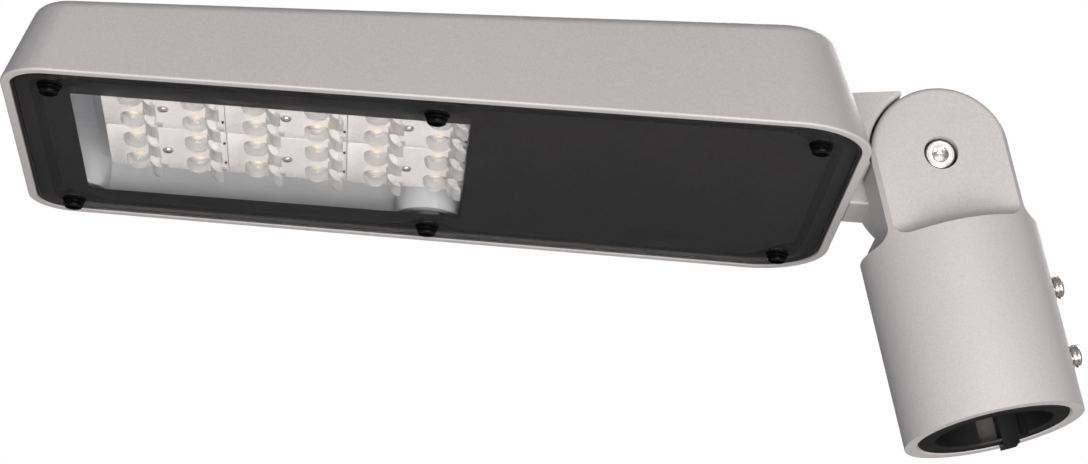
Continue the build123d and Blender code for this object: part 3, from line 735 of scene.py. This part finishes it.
board_outline = rounded_rect(0, 0, MODULE_SIZE, MODULE_SIZE, 1.0)
board = prism("board", board_outline, BOARD_FACE, BOARD_FACE + BOARD_T - 0.05)
bevel(board, 0.2)
boolean(board, turned("hole", straight_hole(MODULE_HOLE_R, 10, 20), steps=24))
board_mesh = mesh_of(board)

for number, (x, y) in enumerate(MODULES, start=1):
    optic = in_lamp(instance(f"lens_optic_{number}", optic_mesh), (x, y, 0))
    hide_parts(f"lens_array_{number}")
    board = in_lamp(instance(f"led_circuit_{number}", board_mesh), (x, y, 0))
    made(board, WHITE_BOARD, "white_board", f"led_board_{number}")

# LED packages: a square base under a dome of gel
chip = prism("chip", rounded_rect(0, 0, 3.4, 3.4, 0.3, 3), BOARD_FACE - 0.62, BOARD_FACE - 0.03)
bevel(chip, 0.15)
gel = [(0, BOARD_FACE - 0.2)]
gel += [(1.65 * cos(radians(a)), BOARD_FACE - 0.5 - 1.3 * sin(radians(a))) for a in range(0, 90, 15)]
gel += [(0, BOARD_FACE - 1.8)]
boolean(chip, turned("gel", gel, steps=28), "UNION")
chips = copies(chip, "led_packages", [(x + u, y + v) for x, y in MODULES for u, v in LENS_SPOTS])
made(in_lamp(chips), PHOSPHOR, "led_yellow", "led_chips")

# small keepers and pins on the lens plates
foot = prism("foot", rounded_rect(0, 0, 3.2, 3.6, 0.3, 3), LENS_FACE - 0.9, LENS_FACE - 0.01)
bevel(foot, 0.2)
feet = [(x + u + 10.2, y + v + 7.0) for x, y in MODULES for u, v in LENS_SPOTS if v > 0]
made(in_lamp(copies(foot, "lens_keepers", feet)), KEEPER, "clear_lens")

pin_profile = [(0, -0.9), (0.35, -0.9), (0.5, -0.75), (0.5, -0.01), (0, -0.01)]
pin = turned("pin", pin_profile, (0, 0, LENS_FACE), 16)
spots = [(x + 24.0, y + v) for x, y in MODULES for v in (-13.2, 11.0)]
made(in_lamp(copies(pin, "lens_pins", spots)), BLACK_SCREW, "black_plastic")

# cross-slotted pan heads
pan = turned(
    "pan",
    [
        (0, 24.0), (1.45, 24.0), (1.5, 23.6), (1.5, LENS_FACE + 0.02), (2.2, LENS_FACE - 0.02),
        (2.35, LENS_FACE - 0.2), (2.35, LENS_FACE - 0.6), (2.1, LENS_FACE - 1.2), (1.5, LENS_FACE - 1.6),
        (0, LENS_FACE - 1.75),
    ],
    steps=40,
)
for width, depth in ((3.4, 0.8), (0.8, 3.4)):
    slot_outline = rounded_rect(0, 0, width, depth, 0.15, 2)
    boolean(pan, prism("slot", slot_outline, LENS_FACE - 4, LENS_FACE - 0.5))
made(in_lamp(copies(pan, "module_screw_heads", MODULES)), BRIGHT, "zinc_steel", "module_screws")

plate_left, plate_right = MODULE_X[0] - PLATE_MARGIN, MODULE_X[-1] + PLATE_MARGIN
plate_outline = rounded_rect((plate_left + plate_right) / 2, 0, plate_right - plate_left, 100, 1.5)
plate = prism("heat_plate", plate_outline, BOARD_FACE + BOARD_T + 0.02, BOARD_FACE + BOARD_T + 3.0)
bevel(plate, 0.35)
for x, y in MODULES:
    boolean(plate, turned("hole", straight_hole(1.6, 10, 30), (x, y, 0), 24))
made(in_lamp(plate), ALUMINIUM, "bare_aluminium", "led_plate")

# ---------------------------------------------------------------- hinge bolt
# the hinge axis as a local z axis, towards -Y
ACROSS = Matrix.Translation(HINGE) @ Matrix.Rotation(radians(90), 4, "X")
face = BOLT_HEAD_FACE
profile = [(0, face - 0.02), (3.9, face - 0.02), (4.05, face), (4.9, face)]
profile += [(5.0, face - 0.06), (5.15, face - 0.06), (5.25, face)]
for step in range(7):
    angle = radians(90 - 90 * step / 6)
    profile.append((5.5 + 0.7 * cos(angle), face - 0.7 + 0.7 * sin(angle)))
profile += [(6.2, BOLT_HEAD_UNDER + 0.3), (6.0, BOLT_HEAD_UNDER), (4.0, BOLT_HEAD_UNDER)]
z = BOLT_HEAD_UNDER - 30.0
profile += [(4.0, z)]
while z > BOLT_END + 1.2:
    profile += [(3.6, z - 0.35), (3.6, z - 0.5), (4.0, z - 0.9), (4.0, z - BOLT_PITCH)]
    z -= BOLT_PITCH
profile += [(3.4, BOLT_END), (0, BOLT_END)]
bm = bmesh.new()
add_lathe(bm, profile, steps=72)
bolt = finish_mesh(bm, "hinge_bolt", sharp=30)
boolean(bolt, prism("socket", hexagon(3.46), face - 4.4, face + 2))
entry = [(0, face - 5.6), (2.95, face - 4.3), (2.95, face - 0.5)]
entry += [(3.6, face + 0.1), (3.6, face + 2), (0, face + 2)]
boolean(bolt, turned("entry", entry))
bolt.matrix_world = ACROSS
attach(bolt, "spigot")
made(bolt, STEEL, "stainless", "tilt_bolt")

# black rubber ring that closes the gap round the bolt's head: painted shade for the dark gap between
# head and counterbore
ring = [(6.66 + 0.42 * cos(radians(a)), 22.4 + 0.55 * sin(radians(a))) for a in range(0, 360, 30)]
head_shade_ring = turned("bolt_head_shade_ring", ring + ring[:1], steps=64)
head_shade_ring.matrix_world = ACROSS
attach(head_shade_ring, "spigot")
made(head_shade_ring, RUBBER, "black_rubber")

# ---------------------------------------------------------------- grub screws
for place, height in GRUB_HEIGHTS.items():
    bm = bmesh.new()
    rows, steps = int(GRUB_LENGTH / GRUB_PITCH * 10), 60
    rings = []
    for row in range(rows + 1):
        along = GRUB_LENGTH * row / rows
        ring = []
        for step in range(steps):
            phase = (along / GRUB_PITCH - step / steps) % 1.0
            flank = min(1.0, max(0.0, abs(phase - 0.5) * 2.6 - 0.15))
            radius = 4.95 - 0.95 * (1 - flank)
            radius = min(radius, 3.7 + 1.1 * min(along, GRUB_LENGTH - along) / 0.9)
            angle = 2 * pi * step / steps
            y, z = radius * cos(angle), height + radius * sin(angle)
            ring.append(bm.verts.new((GRUB_TIP_X + along, y, z)))
        rings.append(ring)
    for low, high in zip(rings, rings[1:]):
        add_walls(bm, low, high)
    bm.faces.new(rings[0])
    bm.faces.new(rings[-1])
    grub = finish_mesh(bm, f"set_screw_{place}", sharp=55)
    bm = bmesh.new()
    end = GRUB_TIP_X + GRUB_LENGTH
    sides = [[bm.verts.new((x, u, height + v)) for u, v in hexagon(2.9)] for x in (end - 5, end + 1)]
    add_block(bm, sides[0], sides[1])
    boolean(grub, finish_mesh(bm, "socket", smooth=False))
    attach(grub, f"grub_{place}")
    made(grub, STEEL, "stainless", f"grub_screw_{place}")

# ---------------------------------------------------------------- floor
bpy.ops.mesh.primitive_plane_add(size=4, location=(0, 0, -1.2))
floor = bpy.context.object
floor.name = "floor"
m = Nodes("floor_paper")
m.join(m.ramp(m.noise(3, 3), [(0.3, grey(0.74)), (0.7, grey(0.78))]), m.shader.inputs["Base Color"])
m.set(Roughness=0.9)
floor.data.materials.append(m.material)


# ---------------------------------------------------------------- light
def lamp(name, place, aim, size, power, colour=(1, 1, 1)):
    """Soft rectangular studio lamp, out of the camera's sight."""
    data = bpy.data.lights.new(name, "AREA")
    data.shape = "RECTANGLE"
    data.size = size[0]
    data.size_y = size[1]
    data.energy = power
    data.color = colour
    light = bpy.data.objects.new(name, data)
    bpy.context.scene.collection.objects.link(light)
    light.location = place
    light.rotation_euler = (Vector(aim) - Vector(place)).to_track_quat("-Z", "Y").to_euler()
    light.visible_camera = False


lamp("key", (-0.15, -1.02, -0.775), (-0.08, 0, 0.08), (1.5, 0.85), 20.5, (1, 0.96, 0.93))
lamp("low", (-0.2, -1.5, -0.3), (-0.1, 0, 0.1), (0.9, 0.35), 6.0, (1, 0.97, 0.95))
lamp("spark", (0.1, -1.6, 0.05), (-0.1, 0, 0.1), (0.12, 0.12), 1.2)
lamp("front", (0.35, -1.45, 0.62), (0, 0, 0.11), (0.8, 0.5), 2.0, (1, 0.95, 0.90))
lamp("top", (-0.5, -0.9, 1.6), (-0.1, 0, 0.1), (1.2, 0.9), 1.5)
lamp("back", (0.7, 1.5, 0.9), (0, 0, 0.1), (1.2, 0.9), 26, (1, 0.97, 0.95))
lamp("left", (-1.6, -0.5, -0.2), (0, 0, 0.1), (0.6, 0.9), 2.0, (0.60, 0.78, 1))

# white to the camera; other rays see it grow darker towards the back and below
world = bpy.data.worlds.new("studio")
bpy.context.scene.world = world
world.use_nodes = True
tree = world.node_tree
back = tree.nodes["Background"]
back.inputs["Strength"].default_value = 0.30
ramp = tree.nodes.new("ShaderNodeValToRGB")
ramp.color_ramp.elements[0].position = 0.1
ramp.color_ramp.elements[0].color = (0.04, 0.04, 0.045, 1)
ramp.color_ramp.elements[1].position = 0.42
ramp.color_ramp.elements[1].color = (0.85, 0.9, 1.0, 1)
facing = tree.nodes.new("ShaderNodeVectorMath")
facing.operation = "DOT_PRODUCT"
facing.inputs[1].default_value = (0, -0.5, 0.5)
lift = tree.nodes.new("ShaderNodeMath")
lift.operation = "ADD"
lift.inputs[1].default_value = 0.5
tree.links.new(tree.nodes.new("ShaderNodeTexCoord").outputs["Generated"], facing.inputs[0])
tree.links.new(facing.outputs["Value"], lift.inputs[0])
tree.links.new(lift.outputs["Value"], ramp.inputs["Fac"])
tree.links.new(ramp.outputs["Color"], back.inputs["Color"])
white = tree.nodes.new("ShaderNodeBackground")
white.inputs["Color"].default_value = (1, 1, 1, 1)
white.inputs["Strength"].default_value = 1.0
seen = tree.nodes.new("ShaderNodeLightPath")
pick = tree.nodes.new("ShaderNodeMixShader")
tree.links.new(seen.outputs["Is Camera Ray"], pick.inputs["Fac"])
tree.links.new(back.outputs["Background"], pick.inputs[1])
tree.links.new(white.outputs["Background"], pick.inputs[2])
tree.links.new(pick.outputs["Shader"], tree.nodes["World Output"].inputs["Surface"])

# ---------------------------------------------------------------- camera
view = bpy.data.cameras.new("camera")
view.lens = 113.43
view.sensor_width = 36
view.clip_start = 0.05
view.clip_end = 50
camera = bpy.data.objects.new("camera", view)
bpy.context.scene.collection.objects.link(camera)
camera.location = (-0.33089, -1.33976, -0.29625)
forward = Vector((0.11816, 0.94901, 0.29225))
roughly_up = Vector((0.17094, -0.30936, 0.93546))
right = forward.cross(roughly_up).normalized()
up = right.cross(forward).normalized()
camera.rotation_euler = Matrix((right, up, -forward.normalized())).transposed().to_euler()
bpy.context.scene.camera = camera
bpy.context.scene.view_settings.view_transform = "Standard"
